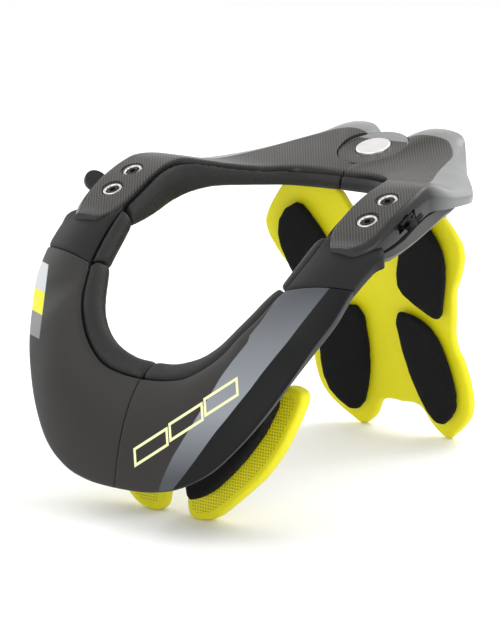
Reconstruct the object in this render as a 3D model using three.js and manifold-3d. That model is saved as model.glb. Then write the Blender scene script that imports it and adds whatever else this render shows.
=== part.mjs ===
// Motocross neck brace: a collar in two halves that swing on a rear pivot, with a back support and chest feet.
// Millimetres, +Z up, -Y is the front, +X is the wearer's left. The feet stand on z = 0.
import * as THREE from "three";
import { mergeVertices } from "three/addons/utils/BufferGeometryUtils.js";
import Module from "manifold-3d";

const wasm = await Module();
wasm.setup();

// Driving sizes
const WIDTH = 240; // across the collar
const LENGTH = 300; // front of the shells to the back of the lobes
const HEIGHT = 212; // floor to the top of the lobes
const GAP = 0.3; // between neighbouring pieces
const SHELL_T = 8; // thickness of the shells and bridges
const SHELL_WALL = 9; // height of their outer wall
const PAD_T = 12; // thickness of the soft edge
const HINGE_R = 23.8; // round plate at the back
const HINGE_T = 3.6;
const PIVOT_R = 5;
const FLANGE_T = 2.4; // hinge leaf of each wing
const HINGE_Y = 0.446; // pivot centre, shares of LENGTH and HEIGHT
const HINGE_Z = 0.94;
const HINGE_TILT = 18.7; // degrees, the plate rises to the back
const CAP_R = 11.5;
const CAP_H = 1.6;
const SCREW_R = 6.3; // bright ring of the arm screws
const BACK_T = 7; // yellow back plate
const BACK_PAD_T = 8;
const BACK_SLOPE = 0.35; // how far the back plate leans forward over its height
const BACK_DISH = 10; // how far its middle lies behind its edges
const STEM_W = 10;
const STEM_T = 7;
const FOOT_T = 10; // yellow chest foot
const FOOT_PAD_T = 13;
const LEVER_L = 13;
const LEVER_T = 4;
const POCKET_L = 19;
const POCKET_H = 6;
const KNOB_R = 7.6;
const KNOB_T = 3;
const KNOB_OUT = 6.8;
const KNOB_UP = 0.7;
const KNOB_TILT = 43;

// Rails of the front half collar, front middle to under the arm.
// Percent of half WIDTH, of LENGTH and of HEIGHT: inner edge, crown, outer edge, soft edge's inner line.
const COLLAR = [
  // ix, iy, iz, cx, cy, cz, ox, oy, oz, px, py, pz
  [0.0, -35.6, 42.9, 0.0, -41.3, 31.3, 0.0, -44.3, 13.9, 0.0, -30.2, 46.4],
  [12.9, -35.5, 43.4, 15.4, -41.2, 31.8, 18.3, -43.8, 14.2, 10.8, -30.2, 46.6],
  [25.4, -34.9, 44.9, 30.0, -40.6, 33.9, 35.8, -42.7, 16.3, 20.8, -30.0, 48.1],
  [35.8, -33.7, 48.3, 43.3, -39.2, 37.5, 51.7, -40.7, 21.4, 29.6, -29.0, 50.2],
  [43.8, -32.0, 52.4, 54.2, -37.0, 43.0, 65.0, -37.8, 29.5, 36.7, -27.8, 53.5],
  [50.2, -30.0, 57.5, 62.5, -34.0, 49.8, 75.0, -34.7, 38.2, 42.1, -26.0, 57.3],
  [54.6, -27.7, 61.1, 68.5, -31.3, 55.0, 82.5, -31.5, 46.5, 46.3, -23.8, 61.0],
  [57.7, -25.1, 64.7, 73.3, -27.4, 60.8, 89.2, -27.3, 55.9, 50.2, -21.2, 64.9],
  [59.7, -23.2, 67.1, 76.5, -24.7, 65.6, 94.4, -23.4, 63.0, 52.5, -19.7, 66.7],
  [61.3, -21.8, 68.7, 79.0, -21.2, 70.9, 96.7, -18.6, 70.5, 53.8, -18.7, 67.7],
  [64.5, -15.2, 76.1, 81.5, -15.6, 76.9, 98.6, -13.8, 75.6, 55.7, -14.5, 73.1],
  [66.3, -9.4, 81.9, 82.5, -10.0, 80.4, 99.6, -10.0, 78.9, 57.5, -9.6, 78.3],
  [72.5, -4.5, 83.6, 80.5, -4.5, 82.6, 88.5, -4.2, 80.9, 58.5, -5.0, 81.0],
  [74.5, 1.5, 85.4, 79.5, 1.5, 84.8, 84.5, 1.8, 83.6, 59.5, 0.0, 83.0],
];
const SHELL_END = 9; // row of the seam between shell and bridge
const PAD_END = 11;

// Rails of the wing, arm tip to the notch behind the pivot: inner edge, ridge, outer edge,
// and the drop of its outer wall in percent of HEIGHT.
const WING = [
  // ix, iy, iz, rx, ry, rz, ox, oy, oz, drop
  [74.2, -13.7, 79.5, 85.0, -13.8, 80.0, 88.0, -13.6, 79.2, 1.2],
  [69.6, -11.0, 80.9, 89.6, -10.7, 81.4, 92.5, -10.9, 80.3, 2.2],
  [66.7, -8.3, 83.2, 92.1, -8.0, 83.8, 94.6, -8.3, 82.3, 3.4],
  [65.8, -4.3, 86.4, 93.2, -4.0, 87.1, 95.8, -4.0, 85.2, 4.2],
  [66.2, 0.0, 89.5, 93.4, 0.3, 89.9, 96.1, 0.3, 87.9, 4.2],
  [66.8, 4.0, 91.7, 93.2, 4.7, 92.2, 95.8, 4.7, 90.0, 4.2],
  [66.8, 7.3, 92.8, 92.1, 8.3, 93.5, 95.4, 9.0, 91.0, 3.6],
  [64.6, 11.0, 93.3, 89.2, 13.0, 93.3, 96.2, 14.0, 89.8, 2.6],
  [58.3, 15.0, 92.2, 80.8, 18.0, 92.0, 97.5, 18.7, 89.0, 1.7],
  [50.8, 19.5, 90.8, 71.7, 22.3, 90.8, 95.8, 23.7, 88.7, 1.7],
  [41.7, 24.7, 89.6, 67.3, 26.7, 90.7, 88.3, 28.7, 88.8, 2.4],
  [35.8, 28.7, 89.2, 60.8, 33.0, 91.8, 78.3, 34.3, 89.3, 3.6],
  [28.3, 31.7, 89.1, 55.8, 39.3, 93.0, 66.7, 40.3, 90.3, 4.0],
  [20.0, 32.8, 89.0, 51.8, 44.2, 94.1, 56.7, 46.3, 91.7, 4.4],
  [12.5, 33.2, 88.9, 43.3, 49.0, 95.8, 47.5, 51.7, 94.6, 4.8],
  [7.5, 33.3, 88.8, 35.8, 51.3, 97.2, 40.0, 55.3, 97.6, 5.0],
  [3.3, 33.3, 88.7, 25.8, 51.0, 98.1, 30.0, 56.0, 99.0, 5.0],
  [1.2, 33.3, 88.7, 16.7, 50.7, 97.6, 18.3, 55.5, 98.8, 5.0],
  [0.0, 33.3, 88.7, 10.0, 50.0, 95.8, 9.0, 53.3, 96.5, 4.8],
];

// Rails of the rear soft edge in the same percents: top edge line and lower edge line.
const REAR_PAD = [
  // tx, ty, tz, bx, by, bz
  [64.6, -8.0, 82.0, 61.5, -8.5, 76.0],
  [64.2, -4.3, 84.8, 61.5, -4.7, 76.8],
  [64.6, 0.0, 87.8, 61.4, 0.0, 78.4],
  [65.2, 4.0, 90.0, 62.3, 4.0, 80.0],
  [65.0, 7.6, 91.1, 62.1, 8.3, 81.6],
  [62.6, 11.3, 91.5, 60.0, 12.2, 82.9],
  [56.4, 15.5, 90.4, 53.8, 16.3, 84.0],
  [49.0, 20.0, 89.0, 46.7, 20.8, 83.8],
  [40.0, 25.0, 87.9, 38.2, 25.6, 83.5],
  [34.0, 28.6, 87.5, 32.5, 29.0, 83.2],
  [26.6, 31.3, 87.3, 25.4, 31.3, 82.9],
  [18.0, 32.5, 87.2, 17.2, 32.0, 82.8],
  [8.3, 32.9, 87.1, 8.0, 32.3, 82.8],
  [0.0, 33.0, 87.1, 0.0, 32.4, 82.8],
];

// Slab under the arm and the bridge's tongue, in the same percents.
const UNDER = [
  // y, low z, high z, inner x, split x, outer x
  [-10.5, 74.2, 76.2, 76.0, 84.0, 90.0],
  [-6.0, 74.6, 78.0, 73.0, 82.0, 94.0],
  [-1.0, 76.2, 80.2, 72.5, 81.0, 95.5],
  [5.0, 78.4, 84.0, 72.5, 81.0, 95.0],
  [10.0, 80.6, 86.0, 73.0, 81.0, 94.5],
  [15.0, 83.2, 86.6, 74.0, 81.0, 94.5],
  [20.0, 85.0, 87.1, 76.0, 81.5, 94.0],
  [24.0, 86.0, 87.0, 78.0, 82.0, 88.0],
];

// Half outlines: percent of half WIDTH and of HEIGHT.
const BACK_PLATE = [
  [0.0, 70.5], [8.0, 75.0], [13.0, 80.5], [20.0, 83.5], [33.0, 84.5], [46.5, 81.6], [52.5, 78.3],
  [58.5, 74.0], [62.5, 70.2], [64.0, 67.5], [63.4, 63.7], [61.0, 60.0], [58.0, 56.5], [53.5, 51.9],
  [50.0, 43.4], [47.5, 37.7], [47.3, 33.0], [50.0, 28.3], [51.7, 21.2], [51.0, 14.2], [47.5, 9.2],
  [41.7, 5.4], [35.0, 2.2], [29.2, 0.0], [23.5, 1.6], [18.5, 4.6], [14.2, 8.9], [8.3, 10.3], [0.0, 9.9],
];
const BACK_PAD_UPPER = [
  [38.3, 76.4], [45.8, 74.1], [51.7, 69.8], [54.2, 65.1], [54.2, 60.8], [51.7, 54.7], [48.3, 49.1],
  [45.0, 43.9], [41.7, 42.2], [36.7, 43.2], [28.0, 45.8], [20.0, 49.0], [17.0, 52.0], [18.5, 57.0],
  [22.0, 62.0], [26.0, 67.5], [30.5, 72.0], [34.5, 75.6],
];
const BACK_PAD_LOWER = [
  [14.0, 43.2], [22.0, 42.9], [29.0, 41.5], [35.0, 39.0], [39.5, 35.0], [42.0, 30.2], [44.0, 23.6],
  [44.5, 17.0], [42.5, 11.8], [37.5, 8.2], [31.5, 5.4], [26.0, 5.8], [21.0, 9.0], [17.0, 14.5],
  [13.5, 21.0], [11.0, 30.0], [10.5, 39.5],
];
const FOOT = [
  [6.8, 12.0], [7.0, 5.0], [8.6, 1.2], [12.6, 0.0], [18.0, 0.0], [25.0, 1.2], [31.5, 4.0], [42.0, 9.3],
  [52.0, 14.8], [60.0, 20.9], [66.0, 27.0], [71.0, 33.5], [74.0, 38.6], [71.5, 41.2], [62.0, 41.5],
  [50.0, 37.2], [36.0, 30.0], [20.0, 21.0], [9.0, 15.0],
];
const FOOT_PAD = [
  [11.2, 13.0], [12.5, 8.3], [15.0, 6.4], [21.0, 7.4], [29.0, 10.2], [38.5, 15.5], [48.0, 21.6],
  [56.0, 28.0], [62.0, 34.6], [64.5, 39.6], [59.0, 39.6], [48.0, 36.5], [34.0, 29.0], [20.0, 20.5],
];

const HALF = WIDTH / 2;
const axes = [HALF / 100, LENGTH / 100, HEIGHT / 100];
const mm = (row, at) => new THREE.Vector3(row[at] * axes[0], row[at + 1] * axes[1], row[at + 2] * axes[2]);

// Smooth curve through the rows of a table.
function blend(rows, t) {
  const k = Math.min(Math.max(Math.floor(t), 0), rows.length - 2);
  const f = t - k;
  const a = rows[Math.max(k - 1, 0)];
  const d = rows[Math.min(k + 2, rows.length - 1)];
  return rows[k].map((b, i) => {
    const c = rows[k + 1][i];
    return b + 0.5 * f * (c - a[i] + f * (2 * a[i] - 5 * b + 4 * c - d[i] + f * (3 * (b - c) + d[i] - a[i])));
  });
}

// Geometry and solids
function meshOf(positions, triangles) {
  const g = new THREE.BufferGeometry();
  g.setAttribute("position", new THREE.Float32BufferAttribute(positions.flatMap((p) => [p.x, p.y, p.z]), 3));
  g.setIndex(triangles.flat());
  return g;
}

function geometryOf(body) {
  const mesh = body.getMesh();
  const g = new THREE.BufferGeometry();
  g.setAttribute("position", new THREE.BufferAttribute(new Float32Array(mesh.vertProperties), 3));
  g.setIndex(new THREE.BufferAttribute(new Uint32Array(mesh.triVerts), 1));
  return g;
}

function solid(geometry) {
  const g = new THREE.BufferGeometry();
  g.setAttribute("position", geometry.getAttribute("position"));
  if (geometry.index) g.setIndex(geometry.index);
  const merged = mergeVertices(g, 1e-4);
  return new wasm.Manifold(
    new wasm.Mesh({
      numProp: 3,
      vertProperties: merged.attributes.position.array,
      triVerts: new Uint32Array(merged.index.array),
    })
  );
}

const shifted = (body, way) => solid(geometryOf(body).translate(...way));

// Closed body through sections of equal point count; ends are capped.
function loft(sections) {
  const n = sections[0].length;
  const points = sections.flat();
  const tris = [];
  for (let s = 0; s + 1 < sections.length; s++)
    for (let i = 0; i < n; i++) {
      const j = (i + 1) % n;
      const [a, b, c, d] = [s * n + i, s * n + j, (s + 1) * n + i, (s + 1) * n + j];
      tris.push([a, b, d], [a, d, c]);
    }
  const cap = (start, flip) => {
    const centre = new THREE.Vector3();
    for (let i = 0; i < n; i++) centre.add(points[start + i]);
    const at = points.length;
    points.push(centre.divideScalar(n));
    for (let i = 0; i < n; i++) {
      const j = (i + 1) % n;
      tris.push(flip ? [at, start + j, start + i] : [at, start + i, start + j]);
    }
  };
  cap(0, true);
  cap((sections.length - 1) * n, false);
  const made = solid(meshOf(points, tris));
  if (made.volume() >= 0) return made;
  return solid(meshOf(points, tris.map(([a, b, c]) => [a, c, b])));
}

// Plate on an outline in x and z whose face lies at y = face(x, z), with chamfered rims.
function plate(outline, face, thickness, rim) {
  const ring = outline.map(([x, z]) => new THREE.Vector2(x * axes[0], z * axes[2]));
  const inset = (by) =>
    ring.map((p, i) => {
      const a = ring[(i + ring.length - 1) % ring.length];
      const b = ring[(i + 1) % ring.length];
      const along = b.clone().sub(a).normalize();
      return new THREE.Vector2(p.x === 0 ? 0 : p.x - along.y * by, p.y + along.x * by);
    });
  const turn = THREE.ShapeUtils.isClockWise(ring) ? -1 : 1;
  const layers = [[rim, 0], [0, rim], [0, thickness - rim], [rim, thickness]].map(([by, depth]) =>
    inset(by * turn).map((q) => new THREE.Vector3(q.x, face(q.x, q.y) + depth, q.y))
  );
  const n = ring.length;
  const points = layers.flat();
  const tris = [];
  for (let s = 0; s < 3; s++)
    for (let i = 0; i < n; i++) {
      const j = (i + 1) % n;
      tris.push([s * n + i, s * n + j, (s + 1) * n + j], [s * n + i, (s + 1) * n + j, (s + 1) * n + i]);
    }
  for (const [a, b, c] of THREE.ShapeUtils.triangulateShape(inset(rim * turn), [])) {
    tris.push(turn > 0 ? [a, c, b] : [a, b, c]);
    tris.push(turn > 0 ? [3 * n + a, 3 * n + b, 3 * n + c] : [3 * n + a, 3 * n + c, 3 * n + b]);
  }
  const made = solid(meshOf(points, tris));
  if (made.volume() > 0) return made;
  return solid(meshOf(points, tris.map(([a, b, c]) => [a, c, b])));
}

// Round body on an axis, from a profile of [radius, height].
const toPivot = new THREE.Matrix4()
  .makeTranslation(0, HINGE_Y * LENGTH, HINGE_Z * HEIGHT)
  .multiply(new THREE.Matrix4().makeRotationX((HINGE_TILT * Math.PI) / 180));
function turned(profile, steps, matrix) {
  const g = new THREE.LatheGeometry(profile.map(([r, h]) => new THREE.Vector2(r, h)), steps);
  g.rotateX(Math.PI / 2);
  g.applyMatrix4(matrix);
  const made = solid(g);
  if (made.volume() > 0) return made;
  const flipped = g.index.array.slice();
  for (let i = 0; i < flipped.length; i += 3) [flipped[i + 1], flipped[i + 2]] = [flipped[i + 2], flipped[i + 1]];
  g.setIndex(new THREE.BufferAttribute(flipped, 1));
  return solid(g);
}
const disc = (r, low, high, steps, matrix) => turned([[0, low], [r, low], [r, high], [0, high]], steps, matrix);
const block = (sx, sy, sz, x, y, z, matrix = new THREE.Matrix4()) =>
  solid(new THREE.BoxGeometry(sx, sy, sz).translate(x, y, z).applyMatrix4(matrix));

// The body less its neighbour, which is moved by the working gap along each direction given.
function cleared(body, neighbour, ways) {
  return ways.reduce((out, way) => out.subtract(shifted(neighbour, way.map((d) => d * GAP))), body);
}
const DOWN = [0, 0, -1.4];
const AHEAD = [0, -1, 0];
const INWARD = [-1, 0, 0];

// Front half collar
function collarPoint(t, u) {
  const row = blend(COLLAR, t);
  const [a, b, c] = [mm(row, 0), mm(row, 3), mm(row, 6)];
  return a
    .multiplyScalar((1 - u) * (1 - 2 * u))
    .add(b.multiplyScalar(4 * u * (1 - u)))
    .add(c.multiplyScalar(u * (2 * u - 1)));
}
function collarNormal(t, u) {
  const along = collarPoint(t + 0.05, u).sub(collarPoint(t - 0.05, u));
  const across = collarPoint(t, Math.min(u + 0.05, 1)).sub(collarPoint(t, Math.max(u - 0.05, 0)));
  return across.cross(along).normalize();
}
function collarSection(t, shift) {
  const shares = [0, 0.18, 0.36, 0.54, 0.72, 0.88, 1];
  const moved = (u, depth) => {
    const along = collarPoint(t + 0.05, u).sub(collarPoint(t - 0.05, u)).normalize();
    return collarPoint(t, u).addScaledVector(along, shift).addScaledVector(collarNormal(t, u), -depth);
  };
  const top = shares.map((u) => moved(u, u === 0 || u === 1 ? 1.2 : 0));
  const low = [1, 0.72, 0.36, 0].map((u) => moved(u, u === 1 ? SHELL_WALL : SHELL_T));
  return [...top, ...low];
}
function collarBody(from, to, steps, startShift, endShift) {
  const sections = [];
  for (let i = 0; i <= steps; i++) {
    const t = from + ((to - from) * i) / steps;
    sections.push(collarSection(t, i === 0 ? startShift : i === steps ? endShift : 0));
  }
  if (from === 0) sections[0].forEach((p) => p.setX(GAP / 2));
  return loft(sections);
}

// Soft edge of the front half collar
function collarPadSection(t) {
  const row = blend(COLLAR, t);
  const edge = mm(row, 0);
  const lip = mm(row, 9);
  const across = lip.clone().sub(edge);
  const width = across.length();
  across.normalize();
  const ahead = blend(COLLAR, Math.min(t + 0.1, COLLAR.length - 1));
  const behind = blend(COLLAR, Math.max(t - 0.1, 0));
  const along = mm(ahead, 0).sub(mm(behind, 0)).normalize();
  const up = along.clone().cross(across).normalize();
  if (up.z < 0) up.negate();
  const shape = [
    [0.14, 0.03], [0.4, 0.12], [0.7, 0.1], [0.9, -0.02], [1.0, -0.22], [1.0, -0.5], [0.88, -0.85], [0.62, -1.0],
  ];
  const free = shape.map(([w, h]) => edge.clone().addScaledVector(across, w * width).addScaledVector(up, h * PAD_T));
  const normal = collarNormal(t, 0);
  const wall = [[SHELL_T, 1.5], [SHELL_T / 2, 1.5], [1.6, 3]].map(([depth, gaps]) =>
    collarPoint(t, 0).addScaledVector(normal, -depth).addScaledVector(across, gaps * GAP)
  );
  return [...free, ...wall];
}
function collarPad(from, to, steps) {
  const sections = [];
  for (let i = 0; i <= steps; i++) sections.push(collarPadSection(from + ((to - from) * i) / steps));
  if (from === 0) sections[0].forEach((p) => p.setX(GAP / 2));
  return loft(sections);
}

// Wing with arm and lobe
function wingSection(t) {
  const row = blend(WING, t);
  const [inner, ridge, outer] = [mm(row, 0), mm(row, 3), mm(row, 6)];
  const drop = row[9] * axes[2];
  const down = (p, by) => p.clone().setZ(p.z - by);
  const mix = (a, b, f, lift) => a.clone().lerp(b, f).setZ(a.z + (b.z - a.z) * f + lift);
  return [
    down(inner, 0.8),
    mix(inner, ridge, 0.04, 0),
    mix(inner, ridge, 0.35, 0.3),
    mix(inner, ridge, 0.7, 0.3),
    ridge,
    mix(ridge, outer, 0.5, 0.6),
    outer,
    down(outer, 2).setX(outer.x + 0.6),
    down(outer, drop),
    down(ridge, drop * 0.85),
    down(mix(inner, ridge, 0.5, 0), 5.2),
    down(inner, 5),
  ];
}
const WING_STEPS = 28;
const wingSections = [];
for (let i = 0; i <= WING_STEPS; i++) wingSections.push(wingSection(((WING.length - 1) * i) / WING_STEPS));

function rearPadSection(t) {
  const row = blend(REAR_PAD, t);
  const [top, low] = [mm(row, 0), mm(row, 3)];
  const ahead = mm(blend(REAR_PAD, Math.min(t + 0.1, REAR_PAD.length - 1)), 0);
  const behind = mm(blend(REAR_PAD, Math.max(t - 0.1, 0)), 0);
  const along = ahead.sub(behind).setZ(0).normalize();
  const out = new THREE.Vector3(along.y, -along.x, 0);
  const shape = [
    [0.6, 0, 2.2], [0.04, 0, 2.2], [0.04, 0, -0.6], [-0.07, 0, -0.6], [-0.17, 0.12, 0], [-0.25, 0.4, 0], [-0.22, 0.7, 0],
    [-0.1, 0.93, 0], [0.12, 1, 0], [0.6, 1, 0],
  ];
  return shape.map(([w, h, drop]) => {
    const p = top.clone().lerp(low, h).addScaledVector(out, w * PAD_T);
    return p.setZ(p.z - drop);
  });
}

function slabSections(from, to, short = 0) {
  const sections = [];
  for (let i = 0; i <= 10; i++) {
    const row = blend(UNDER, ((UNDER.length - 1) * i) / 10);
    const y = row[0] * axes[1];
    const [low, high] = [row[1] * axes[2], row[2] * axes[2]];
    const [a, b] = [row[from] * axes[0], row[to] * axes[0] - short];
    const bevel = Math.min(3, (high - low) / 2);
    const ring = [[a, high], [b, high - 0.4], [b, low + bevel], [b - 2.5, low], [a + 2.5, low], [a, low + bevel]];
    sections.push(ring.map(([x, z]) => new THREE.Vector3(x, y, z)));
  }
  return loft(sections);
}

// Hinge levels under the top face of the round plate
const LEAF_TOP = -HINGE_T - GAP;
const LEAF_LOW = LEAF_TOP - FLANGE_T - GAP;
const STACK = LEAF_LOW - FLANGE_T - GAP;

const wingRaw = loft(wingSections);
const half = (body) => body.intersect(block(400, 900, 900, 200 + GAP / 2, 0, 0));

const pivotHole = disc(PIVOT_R + GAP, -40, 20, 20, toPivot);
const well = disc(HINGE_R + GAP, STACK - 8, 20, 36, toPivot);
// Screw places on the arm
const armSlope = Math.atan2(9.9, 20.4);
const SCREWS = [
  ["rear", 81.25, 1.87, 0.9],
  ["front", 81.0, -4.93, 0.856],
].map(([place, x, y, z]) => ({
  place,
  matrix: new THREE.Matrix4()
    .makeTranslation(x * axes[0], y * axes[1], z * HEIGHT)
    .multiply(new THREE.Matrix4().makeRotationX(armSlope)),
}));

// Hinge leaf and its boss under the wing
function leaf(top) {
  const own = block(200, 212, 60, 108, -96, 0, toPivot);
  const arm = disc(HINGE_R + 2, top - FLANGE_T, top, 36, toPivot).intersect(own);
  const boss = disc(HINGE_R + 8, STACK + 0.2, -1.2, 36, toPivot)
    .subtract(disc(HINGE_R + GAP, -30, 20, 36, toPivot))
    .intersect(own);
  return disc(HINGE_R * 0.84, top - FLANGE_T, top, 24, toPivot).add(arm).add(boss).subtract(pivotHole);
}

function wing(top) {
  let body = half(wingRaw).subtract(well).add(leaf(top));
  for (const { matrix } of SCREWS) body = body.subtract(disc(SCREW_R + GAP, -2.6, 20, 16, matrix));
  return body.subtract(leverPocket);
}

function screw(matrix) {
  const rim = turned([[0, -2.3], [SCREW_R, -2.3], [SCREW_R, 0.2], [SCREW_R - 0.4, 0.6], [SCREW_R - 1.3, 0.6],
    [SCREW_R - 1.5, -0.5], [0, -0.5]], 16, matrix);
  const socket = new THREE.CylinderGeometry(2.2, 2.2, 4, 6).rotateX(Math.PI / 2).applyMatrix4(matrix);
  return rim.subtract(solid(socket));
}

// Release lever on the outer wall of the arm: a knuckle along the arm, a neck and a round thumb disc
const leverPlace = new THREE.Matrix4()
  .makeTranslation(0.962 * HALF, -0.004 * LENGTH, 0.858 * HEIGHT)
  .multiply(new THREE.Matrix4().makeRotationX(armSlope));
const leverPocket = block(LEVER_T + 8, POCKET_L, POCKET_H, 3.4, 0, LEVER_T / 2 + GAP - POCKET_H / 2, leverPlace);
function lever() {
  const knuckle = new THREE.CylinderGeometry(LEVER_T / 2, LEVER_T / 2, LEVER_L, 20);
  const neck = new THREE.CylinderGeometry(LEVER_T / 2, LEVER_T / 2, KNOB_OUT, 20)
    .rotateZ(Math.PI / 2)
    .translate(KNOB_OUT / 2, 0, 0);
  const knob = new THREE.CylinderGeometry(KNOB_R, KNOB_R, KNOB_T, 32)
    .rotateX(Math.PI / 2)
    .rotateY((-KNOB_TILT * Math.PI) / 180)
    .translate(KNOB_OUT, 0, KNOB_UP);
  const [first, ...others] = [knuckle, neck, knob].map((g) => solid(g.applyMatrix4(leverPlace)));
  return others.reduce((out, body) => out.add(body), first);
}

// Flat tilted plates
const backFace = (x, z) => 0.563 * LENGTH - BACK_SLOPE * z + BACK_DISH * (1 - Math.abs(x) / HALF * 1.6);
const footFace = (x, z) => -0.2533 * LENGTH + 0.1 * z;
function mirror(body) {
  const g = geometryOf(body).scale(-1, 1, 1);
  const order = g.index.array;
  for (let i = 0; i < order.length; i += 3) [order[i + 1], order[i + 2]] = [order[i + 2], order[i + 1]];
  return solid(g);
}

function stem() {
  const rows = [[0.885, 0.4567], [0.7, 0.485], [0.52, 0.5093], [0.36, 0.585]];
  const sections = rows.map(([z, y], i) => {
    const back = backFace(0.35 * HALF - STEM_W / 2, z * HEIGHT) + BACK_T + GAP + 0.2;
    const y0 = i < 2 ? y * LENGTH : Math.max(back, 0);
    return [[-1, 0], [1, 0], [1, 0.8], [0.8, 1], [-0.8, 1], [-1, 0.8]].map(
      ([a, b]) => new THREE.Vector3(0.35 * HALF + (a * STEM_W) / 2, y0 + b * STEM_T, z * HEIGHT)
    );
  });
  return loft(sections);
}

function bracket() {
  const hub = disc(HINGE_R * 0.7, STACK - 6, STACK, 24, toPivot);
  const post = disc(PIVOT_R, STACK - 1, -HINGE_T - GAP, 20, toPivot);
  const bar = block(96, 15, 6, 0, 7, STACK - 3.4, toPivot);
  return hub.add(post).add(bar);
}

// Left half, then the same pieces mirrored
const wingLeft = wing(LEAF_TOP);
const wingRight = wing(LEAF_LOW);
const shell = collarBody(0, SHELL_END, 20, 0, -0.25);
const tongue = collarBody(SHELL_END, 13, 10, 0.25, 0);
const bridge = cleared(tongue, wingRaw, [[0, 0, 0], DOWN, AHEAD]);
const underPlate = cleared(slabSections(4, 5), tongue, [DOWN, [1.5, 0, 0], [0, 1.5, 0]]).subtract(leverPocket);
const shoulderPad = cleared(slabSections(3, 4, 1.2), tongue, [DOWN, [0, 1.5, 0]]);
const frontPad = collarPad(0, SHELL_END - 0.08, 20);
const sidePad = cleared(collarPad(SHELL_END + 0.08, PAD_END, 6), tongue, [INWARD]);
const rearSections = [];
for (let i = 0; i <= 22; i++) rearSections.push(rearPadSection(((REAR_PAD.length - 1) * i) / 22));
const rearPad = cleared(cleared(half(loft(rearSections)), sidePad, [[0, 1, 0]]), tongue, [INWARD, [0, 1.5, 0]]);
const foot = plate(FOOT, footFace, FOOT_T, 1.6);
const shellTool = collarBody(-0.3, SHELL_END, 20, 0, 0);
const padBlock = block(11, 28, 10, 0.58 * HALF, -0.3067 * LENGTH, 0.36 * HEIGHT);
const footPad = cleared(
  plate(FOOT_PAD, (x, z) => footFace(x, z) - FOOT_PAD_T, FOOT_PAD_T - GAP, 1.6).add(padBlock),
  shellTool,
  [[0, 0, 0], [0, 1.4, 0], [0, 0, -1]]
);
const backHalf = plate(BACK_PLATE, backFace, BACK_T, 1.6);
const padFace = (x, z) => backFace(x, z) - BACK_PAD_T;

const colours = {
  carbon: [0x4a4641, 0.42, 0.1],
  shell: [0x3a3836, 0.55, 0],
  dark: [0x2b2a29, 0.6, 0],
  grey: [0x6d6b69, 0.45, 0.1],
  pad: [0x262423, 0.85, 0],
  yellow: [0xdcd92e, 0.6, 0],
  silver: [0xd9d7d4, 0.3, 0.3],
};

const object = new THREE.Group();
object.name = "neck_brace";
function put(name, body, [color, roughness, metalness]) {
  const part = new THREE.Mesh(geometryOf(body), new THREE.MeshStandardMaterial({ color, roughness, metalness }));
  part.name = name;
  object.add(part);
}
function both(name, body, colour, right = body) {
  put(name + "_left", body, colour);
  put(name + "_right", mirror(right), colour);
}

const plateProfile = [
  [0, -HINGE_T], [HINGE_R, -HINGE_T], [HINGE_R, -0.6], [HINGE_R - 0.6, 0], [CAP_R + GAP, 0], [CAP_R + GAP, -1], [0, -1],
];
const capProfile = [[0, -1 + GAP], [CAP_R, -1 + GAP], [CAP_R, CAP_H - 0.6], [CAP_R - 0.7, CAP_H], [0, CAP_H + 0.3]];
put("rear_hinge_plate", turned(plateProfile, 40, toPivot), colours.carbon);
put("pivot_cap", turned(capProfile, 28, toPivot), colours.silver);
put("hinge_bracket", bracket(), colours.dark);
both("stem", cleared(stem(), bracket(), [DOWN, [0, 1, 0]]), colours.dark);
put("back_support", backHalf.add(mirror(backHalf)), colours.yellow);
both("back_pad_upper", plate(BACK_PAD_UPPER, padFace, BACK_PAD_T - GAP, 1.8), colours.pad);
both("back_pad_lower", plate(BACK_PAD_LOWER, padFace, BACK_PAD_T - GAP, 1.8), colours.pad);
both("wing", wingLeft, colours.carbon, wingRight);
for (const { place, matrix } of SCREWS) both("screw_" + place, screw(matrix), colours.silver);
both("lever", lever(), colours.dark);
both("under_plate", underPlate, colours.grey);
both("shoulder_pad", shoulderPad, colours.pad);
both("bridge", bridge, colours.dark);
both("shell", shell, colours.shell);
both("rear_pad", rearPad, colours.pad);
both("side_pad", sidePad, colours.pad);
both("front_pad", frontPad, colours.pad);
both("chest_support", foot, colours.yellow);
both("chest_pad", footPad, colours.pad);

// The origin is the middle of the footprint, on the floor.
const box = new THREE.Box3().setFromObject(object);
const middle = (box.min.y + box.max.y) / 2;
for (const part of object.children) part.geometry.translate(0, -middle, -box.min.z);

export default object;
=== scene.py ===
"""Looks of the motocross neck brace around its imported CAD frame. Metres, +Z up, -Y is the front."""
import math

import bmesh
import bpy
import numpy as np
from mathutils import Matrix, Vector
from mathutils.kdtree import KDTree


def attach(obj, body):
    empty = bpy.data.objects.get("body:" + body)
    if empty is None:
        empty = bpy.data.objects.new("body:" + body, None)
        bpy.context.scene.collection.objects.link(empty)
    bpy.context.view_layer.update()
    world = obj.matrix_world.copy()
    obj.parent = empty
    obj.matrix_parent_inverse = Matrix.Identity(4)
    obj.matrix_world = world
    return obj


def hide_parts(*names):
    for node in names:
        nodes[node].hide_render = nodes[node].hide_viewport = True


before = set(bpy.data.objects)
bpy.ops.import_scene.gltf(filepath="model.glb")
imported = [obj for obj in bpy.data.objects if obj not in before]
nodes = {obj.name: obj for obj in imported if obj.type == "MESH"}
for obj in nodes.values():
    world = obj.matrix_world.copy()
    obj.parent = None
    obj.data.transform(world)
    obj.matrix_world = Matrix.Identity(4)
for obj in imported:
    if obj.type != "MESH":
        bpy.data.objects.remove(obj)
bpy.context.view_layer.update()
SIDES = (("left", 1), ("right", -1))

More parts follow.
